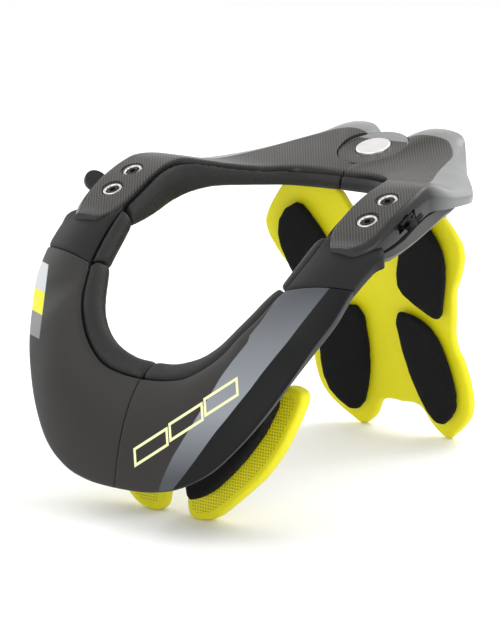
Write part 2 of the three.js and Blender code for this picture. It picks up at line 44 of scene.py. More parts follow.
# Driving sizes, millimetres, as in the CAD
WIDTH, LENGTH, HEIGHT = 240, 300, 212
HALF = WIDTH / 2
SHIFT_Y = -24.4890  # the CAD's origin is the middle of its footprint
AXES = np.array([HALF / 100, LENGTH / 100, HEIGHT / 100])
GAP = 0.3
SHELL_T, SHELL_WALL = 8, 9
HINGE_R, HINGE_T, HINGE_Y, HINGE_Z, HINGE_TILT = 23.8, 3.6, 0.446, 0.94, 18.7
CAP_R, CAP_H, SCREW_R = 11.5, 1.6, 6.3
BACK_T, BACK_Y, BACK_SLOPE, BACK_DISH, BACK_RIDGE = 7, 0.563, 0.35, 10, 5
FOOT_T, FOOT_Y, FOOT_SLOPE = 10, -0.2533, 0.1
LEVER_T, POCKET_L, POCKET_H = 4, 19, 6
LOBE_START, LOBE_FADE = 26, 24
ARM_RISE, ARM_RUN = 9.9, 20.4
ARM_SLOPE = math.atan2(ARM_RISE, ARM_RUN)

# Rails of the collar: inner edge, crown, outer edge, soft edge's inner line
COLLAR = np.array([
    # ix, iy, iz, cx, cy, cz, ox, oy, oz, px, py, pz
    [0.0, -35.6, 42.9, 0.0, -41.3, 31.3, 0.0, -44.3, 13.9, 0.0, -30.2, 46.4],
    [12.9, -35.5, 43.4, 15.4, -41.2, 31.8, 18.3, -43.8, 14.2, 10.8, -30.2, 46.6],
    [25.4, -34.9, 44.9, 30.0, -40.6, 33.9, 35.8, -42.7, 16.3, 20.8, -30.0, 48.1],
    [35.8, -33.7, 48.3, 43.3, -39.2, 37.5, 51.7, -40.7, 21.4, 29.6, -29.0, 50.2],
    [43.8, -32.0, 52.4, 54.2, -37.0, 43.0, 65.0, -37.8, 29.5, 36.7, -27.8, 53.5],
    [50.2, -30.0, 57.5, 62.5, -34.0, 49.8, 75.0, -34.7, 38.2, 42.1, -26.0, 57.3],
    [54.6, -27.7, 61.1, 68.5, -31.3, 55.0, 82.5, -31.5, 46.5, 46.3, -23.8, 61.0],
    [57.7, -25.1, 64.7, 73.3, -27.4, 60.8, 89.2, -27.3, 55.9, 50.2, -21.2, 64.9],
    [59.7, -23.2, 67.1, 76.5, -24.7, 65.6, 94.4, -23.4, 63.0, 52.5, -19.7, 66.7],
    [61.3, -21.8, 68.7, 79.0, -21.2, 70.9, 96.7, -18.6, 70.5, 53.8, -18.7, 67.7],
    [64.5, -15.2, 76.1, 81.5, -15.6, 76.9, 98.6, -13.8, 75.6, 55.7, -14.5, 73.1],
    [66.3, -9.4, 81.9, 82.5, -10.0, 80.4, 99.6, -10.0, 78.9, 57.5, -9.6, 78.3],
    [72.5, -4.5, 83.6, 80.5, -4.5, 82.6, 88.5, -4.2, 80.9, 58.5, -5.0, 81.0],
    [74.5, 1.5, 85.4, 79.5, 1.5, 84.8, 84.5, 1.8, 83.6, 59.5, 0.0, 83.0],
])
SHELL_END = 9

# Rails of the wing: inner edge, ridge, outer edge, drop of the outer wall
WING = np.array([
    # ix, iy, iz, rx, ry, rz, ox, oy, oz, drop
    [74.2, -13.7, 79.5, 85.0, -13.8, 80.0, 88.0, -13.6, 79.2, 1.2],
    [69.6, -11.0, 80.9, 89.6, -10.7, 81.4, 92.5, -10.9, 80.3, 2.2],
    [66.7, -8.3, 83.2, 92.1, -8.0, 83.8, 94.6, -8.3, 82.3, 3.4],
    [65.8, -4.3, 86.4, 93.2, -4.0, 87.1, 95.8, -4.0, 85.2, 4.2],
    [66.2, 0.0, 89.5, 93.4, 0.3, 89.9, 96.1, 0.3, 87.9, 4.2],
    [66.8, 4.0, 91.7, 93.2, 4.7, 92.2, 95.8, 4.7, 90.0, 4.2],
    [66.8, 7.3, 92.8, 92.1, 8.3, 93.5, 95.4, 9.0, 91.0, 3.6],
    [64.6, 11.0, 93.3, 89.2, 13.0, 93.3, 96.2, 14.0, 89.8, 2.6],
    [58.3, 15.0, 92.2, 80.8, 18.0, 92.0, 97.5, 18.7, 89.0, 1.7],
    [50.8, 19.5, 90.8, 71.7, 22.3, 90.8, 95.8, 23.7, 88.7, 1.7],
    [41.7, 24.7, 89.6, 67.3, 26.7, 90.7, 88.3, 28.7, 88.8, 2.4],
    [35.8, 28.7, 89.2, 60.8, 33.0, 91.8, 78.3, 34.3, 89.3, 3.6],
    [28.3, 31.7, 89.1, 55.8, 39.3, 93.0, 66.7, 40.3, 90.3, 4.0],
    [20.0, 32.8, 89.0, 51.8, 44.2, 94.1, 56.7, 46.3, 91.7, 4.4],
    [12.5, 33.2, 88.9, 43.3, 49.0, 95.8, 47.5, 51.7, 94.6, 4.8],
    [7.5, 33.3, 88.8, 35.8, 51.3, 97.2, 40.0, 55.3, 97.6, 5.0],
    [3.3, 33.3, 88.7, 25.8, 51.0, 98.1, 30.0, 56.0, 99.0, 5.0],
    [1.2, 33.3, 88.7, 16.7, 50.7, 97.6, 18.3, 55.5, 98.8, 5.0],
    [0.0, 33.3, 88.7, 10.0, 50.0, 95.8, 9.0, 53.3, 96.5, 4.8],
])

# Half outlines: percent of half WIDTH and of HEIGHT
BACK_PLATE = [
    (0.0, 70.5), (8.0, 75.0), (13.0, 80.5), (20.0, 83.5), (33.0, 84.5), (46.5, 81.6), (52.5, 78.3),
    (58.5, 74.0), (62.5, 70.2), (64.0, 67.5), (63.4, 63.7), (61.0, 60.0), (58.0, 56.5), (53.5, 51.9),
    (50.0, 43.4), (47.5, 37.7), (47.3, 33.0), (50.0, 28.3), (51.7, 21.2), (51.0, 14.2), (47.5, 9.2),
    (41.7, 5.4), (35.0, 2.2), (29.2, 0.0), (23.5, 1.6), (18.5, 4.6), (14.2, 8.9), (8.3, 10.3), (0.0, 9.9),
]
FOOT = [
    (6.8, 12.0), (7.0, 5.0), (8.6, 1.2), (12.6, 0.0), (18.0, 0.0), (25.0, 1.2), (31.5, 4.0), (42.0, 9.3),
    (52.0, 14.8), (60.0, 20.9), (66.0, 27.0), (71.0, 33.5), (74.0, 38.6), (71.5, 41.2), (62.0, 41.5),
    (50.0, 37.2), (36.0, 30.0), (20.0, 21.0), (9.0, 15.0),
]

# Picture points of the shell's colour bands, at the camera of this scene
BAND_LEFT = [
    (158.7, 490), (162.4, 478.8), (168.5, 465.4), (173.3, 455.7), (180, 444.7), (214.7, 387.5),
    (220.2, 377.8), (231.8, 361.9), (247.6, 342.4), (249.8, 335.4), (260.2, 322.7), (280, 294), (300, 262),
]
BAND_RIGHT = [
    (172.7, 489.6), (183.1, 476.4), (195.3, 460), (206.2, 444.7), (216, 431.3), (225.7, 419.8),
    (236.7, 405.8), (250.1, 389.3), (262.2, 372.9), (274.4, 357.7), (286.6, 343), (301.2, 323.8),
    (318.5, 301.9), (331.7, 285.5), (350, 262),
]
FADE_AT, FADE = (290, 345, 400, 415, 478), (0.05, 0.59, 1, 1, 0.05)
BARS = ((151, 447), (186, 422), (221, 397))
BAR_HALF, BAR_LINE = (19, 7), 1.3
LABEL_TOP, LABEL_YELLOW, LABEL_GREY, LABEL_END = 238.0, 268.0, 292.0, 317.5
LABEL_SIDE, LABEL_MIDDLE = 49.0, 260
PICTURE = (500, 625)

# Camera of the photograph
CAM_AZ, CAM_EL, CAM_F, CAM_D = math.radians(36.91), math.radians(12.01), 2594.3, 1.6037
BACK = Vector((math.sin(CAM_AZ) * math.cos(CAM_EL), -math.cos(CAM_AZ) * math.cos(CAM_EL), math.sin(CAM_EL)))
RIGHT = Vector((math.cos(CAM_AZ), math.sin(CAM_AZ), 0))
UP = BACK.cross(RIGHT)
AIM = Vector((0, SHIFT_Y / 1000, 0.112))


def pixel(p):
    """Place of a point of the row frame in the picture."""
    q = Vector(p) - AIM
    depth = CAM_D - q.dot(BACK)
    return PICTURE[0] / 2 + CAM_F * q.dot(RIGHT) / depth, PICTURE[1] / 2 - CAM_F * q.dot(UP) / depth


# Curves and meshes
def cubic(a, b, c, d, f):
    """Smooth curve from b to c, with a before and d behind them."""
    return b + 0.5 * f * (c - a + f * (2 * a - 5 * b + 4 * c - d + f * (3 * (b - c) + d - a)))


def blend(rows, t):
    """Smooth curve through the rows of a table."""
    k = min(max(int(math.floor(t)), 0), len(rows) - 2)
    f = t - k
    return cubic(rows[max(k - 1, 0)], rows[k], rows[k + 1], rows[min(k + 2, len(rows) - 1)], f)


def mm(row, at):
    return np.array(row[at:at + 3]) * AXES


def unit(v):
    return v / max(np.linalg.norm(v), 1e-9)


def to_frame(points):
    """Millimetres of the tables to metres of the row frame."""
    return (np.asarray(points, float) + [0, SHIFT_Y, 0]) / 1000


def link(name, mesh):
    obj = bpy.data.objects.new(name, mesh)
    bpy.context.scene.collection.objects.link(obj)
    return obj


def mesh_object(name, verts, faces):
    mesh = bpy.data.meshes.new(name)
    mesh.from_pydata([tuple(v) for v in verts], [], faces)
    bm = bmesh.new()
    bm.from_mesh(mesh)
    bmesh.ops.remove_doubles(bm, verts=bm.verts, dist=1e-6)
    bmesh.ops.recalc_face_normals(bm, faces=bm.faces)
    bm.to_mesh(mesh)
    bm.free()
    return link(name, mesh)


def smooth(obj, angle=40):
    """Smooth shading with edges sharper than the angle kept."""
    mesh = obj.data
    bm = bmesh.new()
    bm.from_mesh(mesh)
    for f in bm.faces:
        f.smooth = True
    for e in bm.edges:
        e.smooth = not (len(e.link_faces) == 2 and e.calc_face_angle(0) > math.radians(angle))
    bm.to_mesh(mesh)
    bm.free()
    return obj


def strips(count, n):
    """Faces between neighbouring rings of n points."""
    faces = []
    for s in range(count - 1):
        for i in range(n):
            j = (i + 1) % n
            faces.append((s * n + i, s * n + j, (s + 1) * n + j, (s + 1) * n + i))
    return faces


def loft(name, sections):
    """Closed body through sections of equal point count, in table millimetres."""
    n = len(sections[0])
    verts = to_frame(np.concatenate(sections))
    faces = strips(len(sections), n)
    faces.append(tuple(range(n - 1, -1, -1)))
    faces.append(tuple(range((len(sections) - 1) * n, len(sections) * n)))
    return mesh_object(name, verts, faces)


def turned(name, profile, steps, matrix):
    """Round body about the local z axis of the matrix, from (radius, height) in millimetres."""
    verts = []
    for r, h in profile:
        for i in range(steps):
            a = 2 * math.pi * i / steps
            p = matrix @ Vector((r * math.cos(a), r * math.sin(a), h))
            verts.append(to_frame(p))
    faces = strips(len(profile), steps)
    if profile[0][0] > 0.01:
        faces.append(tuple(range(steps)))
    if profile[-1][0] > 0.01:
        last = (len(profile) - 1) * steps
        faces.append(tuple(range(last, last + steps)))
    return mesh_object(name, verts, faces)


def mirrored(obj, name):
    """Copy of a piece on the other side."""
    mesh = obj.data.copy()
    mesh.transform(Matrix.Diagonal((-1, 1, 1, 1)))
    mesh.flip_normals()
    return link(name, mesh)


def apply_modifiers(obj):
    dg = bpy.context.evaluated_depsgraph_get()
    mesh = bpy.data.meshes.new_from_object(obj.evaluated_get(dg))
    obj.modifiers.clear()
    obj.data = mesh
    return obj


def cut(obj, *tools):
    """Takes the tools away from a piece."""
    for tool in tools:
        m = obj.modifiers.new("cut", "BOOLEAN")
        m.operation = "DIFFERENCE"
        m.solver = "EXACT"
        m.object = tool
    apply_modifiers(obj)
    for tool in tools:
        bpy.data.objects.remove(tool)
    return obj


def attribute(obj, name, values):
    a = obj.data.attributes.get(name) or obj.data.attributes.new(name, "FLOAT", "POINT")
    a.data.foreach_set("value", np.asarray(values, np.float32))


def smooth_ring(points, closed, steps=5):
    """Denser outline through the points of a table."""
    pts = np.array(points, float) * [AXES[0], AXES[2]]
    n = len(pts)
    out = []
    for k in range(n if closed else n - 1):
        a = pts[(k - 1) % n] if closed or k > 0 else pts[0]
        b, c = pts[k], pts[(k + 1) % n]
        d = pts[(k + 2) % n] if closed else pts[min(k + 2, n - 1)]
        out += [cubic(a, b, c, d, i / steps) for i in range(steps)]
    if not closed:
        out.append(pts[-1])
    return np.array(out)


def plate(name, ring, face, thickness, radius, spacing=5.0):
    """Plate on a closed x, z outline with rounded rims; its face lies at y = face(x, z)."""
    area = np.sum(ring[:, 0] * np.roll(ring[:, 1], -1) - np.roll(ring[:, 0], -1) * ring[:, 1])
    if area < 0:
        ring = ring[::-1]
    along = np.roll(ring, -1, 0) - np.roll(ring, 1, 0)
    along /= np.maximum(np.linalg.norm(along, axis=1, keepdims=True), 1e-9)
    inward = np.stack([-along[:, 1], along[:, 0]], 1)
    steps = [(1 - math.sin(q), 1 - math.cos(q)) for q in np.linspace(0, math.pi / 2, 5)]
    layers = [(i * radius, d * radius) for i, d in steps]
    layers += [(i * radius, thickness - d * radius) for i, d in reversed(steps)]
    n = len(ring)
    verts = []
    for inset, depth in layers:
        for p in ring + inward * inset:
            verts.append((p[0], depth, p[1]))
    faces = strips(len(layers), n)
    faces.append(tuple(range(n)))
    faces.append(tuple(range((len(layers) - 1) * n, len(layers) * n)))
    bm = bmesh.new()
    made = [bm.verts.new(v) for v in verts]
    for f in faces:
        bm.faces.new([made[i] for i in f])
    bmesh.ops.recalc_face_normals(bm, faces=bm.faces)
    low, high = ring.min(0), ring.max(0)
    for axis, normal in ((0, (1, 0, 0)), (1, (0, 0, 1))):
        at = low[axis] + spacing / 2
        while at < high[axis]:
            place = (at, 0, 0) if axis == 0 else (0, 0, at)
            geom = list(bm.verts) + list(bm.edges) + list(bm.faces)
            bmesh.ops.bisect_plane(bm, geom=geom, dist=1e-4, plane_co=place, plane_no=normal)
            at += spacing
    for v in bm.verts:
        x, depth, z = v.co
        v.co = Vector(to_frame((x, face(x, z) + depth, z)))
    mesh = bpy.data.meshes.new(name)
    bm.to_mesh(mesh)
    bm.free()
    return link(name, mesh)


def ring_distance(ring, x, z):
    """Signed distance in millimetres to a closed outline, positive inside."""
    a, b = ring, np.roll(ring, -1, 0)
    p = np.array([x, z])
    ab, ap = b - a, p - a
    h = np.clip((ap * ab).sum(1) / np.maximum((ab * ab).sum(1), 1e-9), 0, 1)
    d = np.linalg.norm(ap - ab * h[:, None], axis=1).min()
    crosses = (a[:, 1] > z) != (b[:, 1] > z)
    slope = np.where(np.abs(b[:, 1] - a[:, 1]) < 1e-9, 1e-9, b[:, 1] - a[:, 1])
    hits = crosses & (x < (b[:, 0] - a[:, 0]) * (z - a[:, 1]) / slope + a[:, 0])
    return d if hits.sum() % 2 else -d


# Materials
class Nodes:
    """Small helper that wires one material."""

    def __init__(self, name, base, rough, metal=0.0, **inputs):
        self.mat = bpy.data.materials.new(name)
        self.mat.use_nodes = True
        self.tree = self.mat.node_tree
        self.shader = self.tree.nodes["Principled BSDF"]
        self.shader.inputs["Base Color"].default_value = (*base, 1)
        self.shader.inputs["Roughness"].default_value = rough
        self.shader.inputs["Metallic"].default_value = metal
        for key, value in inputs.items():
            self.shader.inputs[key.replace("_", " ")].default_value = value
        self.coords = self.tree.nodes.new("ShaderNodeTexCoord").outputs["Object"]
        self.height = None

    def node(self, kind, **values):
        n = self.tree.nodes.new(kind)
        for key, value in values.items():
            setattr(n, key, value)
        return n

    def wire(self, a, b):
        self.tree.links.new(a, b)

    def math(self, kind, a, b=0.0, clamp=False):
        n = self.node("ShaderNodeMath", operation=kind, use_clamp=clamp)
        for socket, value in zip(n.inputs, (a, b)):
            if isinstance(value, (int, float)):
                socket.default_value = value
            else:
                self.wire(value, socket)
        return n.outputs[0]

    def noise(self, scale, detail=3.0, vector=None):
        n = self.node("ShaderNodeTexNoise")
        n.inputs["Scale"].default_value = scale
        n.inputs["Detail"].default_value = detail
        self.wire(vector or self.coords, n.inputs["Vector"])
        return n.outputs["Fac"]

    def along(self, direction):
        n = self.node("ShaderNodeVectorMath", operation="DOT_PRODUCT")
        self.wire(self.coords, n.inputs[0])
        n.inputs[1].default_value = direction
        return n.outputs["Value"]

    def wave(self, value, period):
        """Smooth ribs from 0 to 1 along a length in metres."""
        s = self.math("SINE", self.math("MULTIPLY", value, 2 * math.pi / period))
        return self.math("ADD", self.math("MULTIPLY", s, 0.5), 0.5)

    def named(self, name):
        n = self.node("ShaderNodeAttribute", attribute_name=name)
        return n.outputs["Fac"]

    def edge(self, value, at, width):
        """Step from 0 to 1 where the value passes at."""
        d = self.math("SUBTRACT", value, at)
        return self.math("ADD", self.math("DIVIDE", d, width), 0.5, clamp=True)

    def mix(self, fac, a, b):
        n = self.node("ShaderNodeMix", data_type="RGBA")
        self.wire(fac, n.inputs[0])
        for socket, value in ((n.inputs[6], a), (n.inputs[7], b)):
            if isinstance(value, tuple):
                socket.default_value = (*value, 1)
            else:
                self.wire(value, socket)
        return n.outputs[2]

    def raised(self, value, share):
        """Adds to the relief."""
        part = self.math("MULTIPLY", value, share)
        self.height = part if self.height is None else self.math("ADD", self.height, part)

    def colour(self, socket):
        self.wire(socket, self.shader.inputs["Base Color"])

    def roughness(self, socket):
        self.wire(socket, self.shader.inputs["Roughness"])

    def done(self, distance, strength=1.0):
        if self.height is not None:
            b = self.node("ShaderNodeBump")
            b.inputs["Strength"].default_value = strength
            b.inputs["Distance"].default_value = distance
            self.wire(self.height, b.inputs["Height"])
            self.wire(b.outputs["Normal"], self.shader.inputs["Normal"])
        return self.mat


def tint(c, k):
    return tuple(min(1.0, x * k) for x in c)


def plastic(name, base, rough, grain=1400, depth=0.00004, spread=0.18, **inputs):
    """Moulded plastic with a fine grain, slow colour changes and lightly rubbed places."""
    m = Nodes(name, base, rough, Specular_IOR_Level=0.22, **inputs)
    slow = m.noise(18, 4)
    fine = m.noise(grain, 2)
    tone = m.mix(slow, tint(base, 1 - spread), tint(base, 1 + spread))
    m.colour(m.mix(m.edge(fine, 0.62, 0.1), tone, tint(base, 1 + spread * 1.6)))
    m.roughness(m.math("ADD", m.math("MULTIPLY", slow, 0.16), rough - 0.08))
    m.raised(fine, 1.0)
    m.raised(m.noise(60, 3), 0.6)
    return m.done(depth)


def knit(name, base, rough, pitch=0.0011, depth=0.00016, **inputs):
    """Close knit cloth over foam."""
    m = Nodes(name, base, rough, **inputs)
    a = m.wave(m.along((0.8, 0.6, 0.25)), pitch)
    b = m.wave(m.along((-0.55, 0.6, 0.75)), pitch)
    cell = m.math("MULTIPLY", a, b)
    slow = m.noise(35, 4)
    fuzz = m.noise(2600, 3)
    tone = m.mix(slow, tint(base, 0.75), tint(base, 1.3))
    m.colour(m.mix(m.math("MULTIPLY", cell, fuzz), tone, tint(base, 2.2)))
    m.raised(cell, 1.0)
    m.raised(fuzz, 0.5)
    return m.done(depth)


def ribs(m):
    """Close ribs of the carbon-look panel, broken into short tows."""
    across = m.along((0.8, 0.6, 0.0))
    length = m.along((0.6, -0.8, 0.0))
    rib = m.wave(across, 0.0017)
    row = m.wave(m.math("ADD", length, m.math("MULTIPLY", across, 0.5)), 0.0022)
    return rib, row


def carbon(name="carbon panel"):
    m = Nodes(name, (0.06, 0.055, 0.05), 0.4, Specular_IOR_Level=0.3, Coat_Weight=0.1, Coat_Roughness=0.22)
    rib, row = ribs(m)
    panel = m.edge(m.named("panel"), 0.0, 0.35)
    light = m.math("MULTIPLY", rib, m.math("ADD", m.math("MULTIPLY", row, 0.35), 0.65))
    woven = m.mix(light, (0.011, 0.01, 0.0087), (0.064, 0.057, 0.049))
    slow = m.noise(26, 3)
    silver = m.mix(slow, (0.15, 0.156, 0.152), (0.25, 0.258, 0.252))
    silver = m.mix(m.edge(m.noise(1500, 2), 0.66, 0.1), silver, (0.28, 0.286, 0.28))
    rim = m.mix(m.named("lobe"), m.mix(slow, (0.009, 0.0092, 0.0095), (0.016, 0.0164, 0.017)), silver)
    # Near-black where seam_shade is set: painted shade of the gap round the hinge plate.
    m.colour(m.mix(m.named("seam_shade"), m.mix(panel, rim, woven), (0.002, 0.002, 0.002)))
    rough = m.math("ADD", m.math("MULTIPLY", panel, 0.12), m.math("MULTIPLY", slow, 0.12))
    m.roughness(m.math("ADD", rough, 0.2))
    m.raised(m.math("MULTIPLY", m.math("MULTIPLY", rib, row), panel), 1.0)
    groove = m.math("SUBTRACT", 1.0, m.math("ABSOLUTE", m.math("DIVIDE", m.named("panel"), 0.5)), clamp=True)
    m.raised(groove, -1.6)
    return m.done(0.00012)


def shell_base(name):
    base = (0.025, 0.0235, 0.0225)
    m = Nodes(name, base, 0.5, Specular_IOR_Level=0.2)
    slow = m.noise(14, 4)
    m.raised(m.noise(1600, 2), 1.0)
    m.roughness(m.math("ADD", m.math("MULTIPLY", slow, 0.14), 0.4))
    return m, slow, m.mix(slow, tint(base, 0.8), tint(base, 1.15))


def bar_outline(m, u, v, place):
    """Outline of one slanted bar in picture points, 1 on the line."""
    x = m.math("SUBTRACT", u, place[0])
    y = m.math("SUBTRACT", v, place[1])
    s = m.math("SUBTRACT", m.math("MULTIPLY", x, 0.84), m.math("MULTIPLY", y, 0.54))
    w = m.math("ADD", m.math("MULTIPLY", x, 0.54), m.math("MULTIPLY", y, 0.84))
    s = m.math("ADD", s, m.math("MULTIPLY", w, 0.55))
    ds = m.math("SUBTRACT", m.math("ABSOLUTE", s), BAR_HALF[0])
    dw = m.math("SUBTRACT", m.math("ABSOLUTE", w), BAR_HALF[1])
    d = m.math("ABSOLUTE", m.math("MAXIMUM", ds, dw))
    return m.edge(m.math("SUBTRACT", BAR_LINE, d), 0.0, 0.5)


def shell_material():
    """Left shell: charcoal, a grey band, a navy side and three outlined bars."""
    m, slow, tone = shell_base("shell plastic")
    outside = m.named("outside")
    left = m.math("MULTIPLY", m.edge(m.named("band_left"), 0.0, 0.6), outside)
    right = m.math("MULTIPLY", m.edge(m.named("band_right"), 0.0, 0.6), outside)
    grey = m.mix(m.named("band_fade"), (0.05, 0.055, 0.061), (0.225, 0.243, 0.265))
    tone = m.mix(left, tone, grey)
    tone = m.mix(right, tone, m.mix(slow, (0.001, 0.0012, 0.0015), (0.002, 0.0024, 0.003)))
    u, v = m.named("print_u"), m.named("print_v")
    lines = None
    for place in BARS:
        one = bar_outline(m, u, v, place)
        lines = one if lines is None else m.math("MAXIMUM", lines, one)
    m.colour(m.mix(m.math("MULTIPLY", lines, outside), tone, (0.78, 0.78, 0.42)))
    return m.done(0.00003)


def far_shell_material():
    """Right shell: charcoal with a bare three-colour label on its outer edge."""
    m, slow, tone = shell_base("shell plastic right")
    u, v = m.named("print_u"), m.named("print_v")
    tilt = m.math("ADD", v, m.math("MULTIPLY", u, -0.55))
    on = m.math("SUBTRACT", 1.0, m.edge(tilt, LABEL_END, 0.6))
    on = m.math("MULTIPLY", m.edge(tilt, LABEL_TOP, 0.6), on)
    side = m.math("ADD", u, m.math("MULTIPLY", m.math("SUBTRACT", v, LABEL_MIDDLE), 0.125))
    on = m.math("MULTIPLY", on, m.math("SUBTRACT", 1.0, m.edge(side, LABEL_SIDE, 0.6)))
    label = m.mix(m.edge(tilt, LABEL_YELLOW, 0.6), (0.5, 0.52, 0.54), (0.66, 0.65, 0.03))
    label = m.mix(m.edge(tilt, LABEL_GREY, 0.6), label, (0.2, 0.2, 0.2))
    m.colour(m.mix(m.math("MULTIPLY", on, m.named("outside")), tone, label))
    return m.done(0.00003)


def yellow_material(dots):
    base = (0.8, 0.74, 0.01)
    m = Nodes("yellow plastic dotted" if dots else "yellow plastic", base, 0.5, Specular_IOR_Level=0.25)
    slow = m.noise(20, 3)
    fine = m.noise(1800, 2)
    tone = m.mix(slow, (0.68, 0.63, 0.006), (0.78, 0.725, 0.012))
    if dots:
        u = m.wave(m.along((1, 0, 0)), 0.0019)
        w = m.wave(m.along((0, 0, 1)), 0.0019)
        hole = m.edge(m.math("MULTIPLY", u, w), 0.45, 0.25)
        hole = m.math("MULTIPLY", hole, m.edge(m.named("band"), 0.0, 0.6))
        # The dimples are painted darker: painted shade inside the holes, laid over their dented relief.
        tone = m.mix(hole, tone, (0.42, 0.39, 0.012))
        m.raised(hole, -3.0)
    m.colour(tone)
    m.roughness(m.math("ADD", m.math("MULTIPLY", slow, 0.15), 0.42))
    m.raised(fine, 0.5)
    m.raised(m.noise(70, 3), 1.6)
    return m.done(0.00012)


def metal(name, base, rough):
    m = Nodes(name, base, rough, 0.85)
    slow = m.noise(160, 4)
    brushed = m.noise(900, 2)
    m.colour(m.mix(slow, tint(base, 0.86), tint(base, 1.08)))
    m.roughness(m.math("ADD", m.math("MULTIPLY", brushed, 0.14), rough - 0.07))
    m.raised(brushed, 1.0)
    return m.done(0.00002)


MAT = {
    "carbon": carbon(),
    "shell": shell_material(),
    "far shell": far_shell_material(),
    "dark": plastic("dark plastic", (0.008, 0.0076, 0.0072), 0.55),
    "grey": plastic("grey plastic", (0.055, 0.054, 0.052), 0.38),
    "black": plastic("black plastic", (0.012, 0.012, 0.013), 0.45),
    "foam": knit("black foam", (0.005, 0.005, 0.0056), 0.9, Specular_IOR_Level=0.15),
    "edge": knit("soft edge", (0.0075, 0.007, 0.0065), 0.5, 0.0011, 0.00011, Specular_IOR_Level=0.3),
    "knob": plastic("glossy black plastic", (0.008, 0.008, 0.0085), 0.3),
    "yellow": yellow_material(False),
    "dotted": yellow_material(True),
    "silver": metal("silver disc", (0.78, 0.77, 0.76), 0.34),
    "steel": metal("screw steel", (0.62, 0.61, 0.6), 0.22),
}


def dress(obj, material, body, slot, *stands_for, angle=40):
    obj.data.materials.clear()
    obj.data.materials.append(MAT[material])
    smooth(obj, angle)
    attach(obj, body)
    if stands_for:
        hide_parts(*stands_for)
    return obj


# Collar shells and bridges
def collar_point(t, u):
    row = blend(COLLAR, t)
    a, b, c = mm(row, 0), mm(row, 3), mm(row, 6)
    return a * (1 - u) * (1 - 2 * u) + b * 4 * u * (1 - u) + c * u * (2 * u - 1)


def collar_frame(t, u):
    along = unit(collar_point(t + 0.05, u) - collar_point(t - 0.05, u))
    across = collar_point(t, min(u + 0.05, 1)) - collar_point(t, max(u - 0.05, 0))
    return along, unit(np.cross(across, along))


def collar_body(name, start, end, steps, first, last):
    sections = []
    top = [0, 0.012, 0.03] + list(np.linspace(0.07, 0.93, 22)) + [0.97, 0.988, 1]
    drop = [1.7, 0.55, 0.1] + [0.0] * 22 + [0.1, 0.55, 1.7]
    for i in range(steps + 1):
        t = start + (end - start) * i / steps
        edge = min(i, steps - i)
        sunk = [0.9, 0.25, 0.05][edge] if edge < 3 else 0
        move = first if i == 0 else last if i == steps else 0
        ring = []
        for u, d in zip(top, drop):
            along, normal = collar_frame(t, u)
            ring.append(collar_point(t, u) + along * move - normal * (d + sunk))
        for u in (1, 0.8, 0.6, 0.4, 0.2, 0):
            along, normal = collar_frame(t, u)
            depth = SHELL_WALL if u == 1 else SHELL_T
            ring.append(collar_point(t, u) + along * move - normal * (depth - 0.3 * (u not in (0, 1))))
        if start == 0 and i == 0:
            ring = [np.array([GAP / 2, p[1], p[2]]) for p in ring]
        sections.append(ring)
    return loft(name, sections)


def band_values(points, line):
    """Distance in picture points to the right of a line given by its heights."""
    line = sorted(line, key=lambda p: p[1])
    xs, ys = [p[0] for p in line], [p[1] for p in line]
    return [px - np.interp(py, ys, xs) for px, py in points]


shell = collar_body("shell_left_cover", 0, SHELL_END, 150, 0, -0.25)
far_shell = mirrored(shell, "shell_right_cover")
for piece in (shell, far_shell):
    points = [pixel(v.co) for v in piece.data.vertices]
    attribute(piece, "print_u", [p[0] for p in points])
    attribute(piece, "print_v", [p[1] for p in points])
    facing = [v.normal.dot((0, -0.6, 0.8)) for v in piece.data.vertices]
    attribute(piece, "outside", [min(max(f * 4 + 1, 0), 1) for f in facing])
points = [pixel(v.co) for v in shell.data.vertices]
attribute(shell, "band_left", band_values(points, BAND_LEFT))
attribute(shell, "band_right", band_values(points, BAND_RIGHT))
attribute(shell, "band_fade", [np.interp(p[1], FADE_AT, FADE) for p in points])
bridge = collar_body("bridge_left_cover", SHELL_END, 12.6, 50, 0.25, 0)
for side, sign in SIDES:
    s = shell if sign > 0 else far_shell
    b = bridge if sign > 0 else mirrored(bridge, "bridge_right_cover")
    dress(s, "shell" if sign > 0 else "far shell", f"{side}_half", "shell_plastic", f"shell_{side}")
    dress(b, "dark", f"{side}_half", "dark_plastic", f"bridge_{side}")

# Wings with their carbon panels
TO_PIVOT = Matrix.Translation((0, HINGE_Y * LENGTH, HINGE_Z * HEIGHT)) @ Matrix.Rotation(
    math.radians(HINGE_TILT), 4, "X")
ARM_TURN = Matrix.Rotation(ARM_SLOPE, 4, "X")
SCREWS = [
    (place, Matrix.Translation((x * AXES[0], y * AXES[1], z * HEIGHT)) @ ARM_TURN)
    for place, x, y, z in (("rear", 81.25, 1.87, 0.9), ("front", 81.0, -4.93, 0.856))
]
LEVER = Matrix.Translation((0.962 * HALF, -0.004 * LENGTH, 0.858 * HEIGHT)) @ ARM_TURN


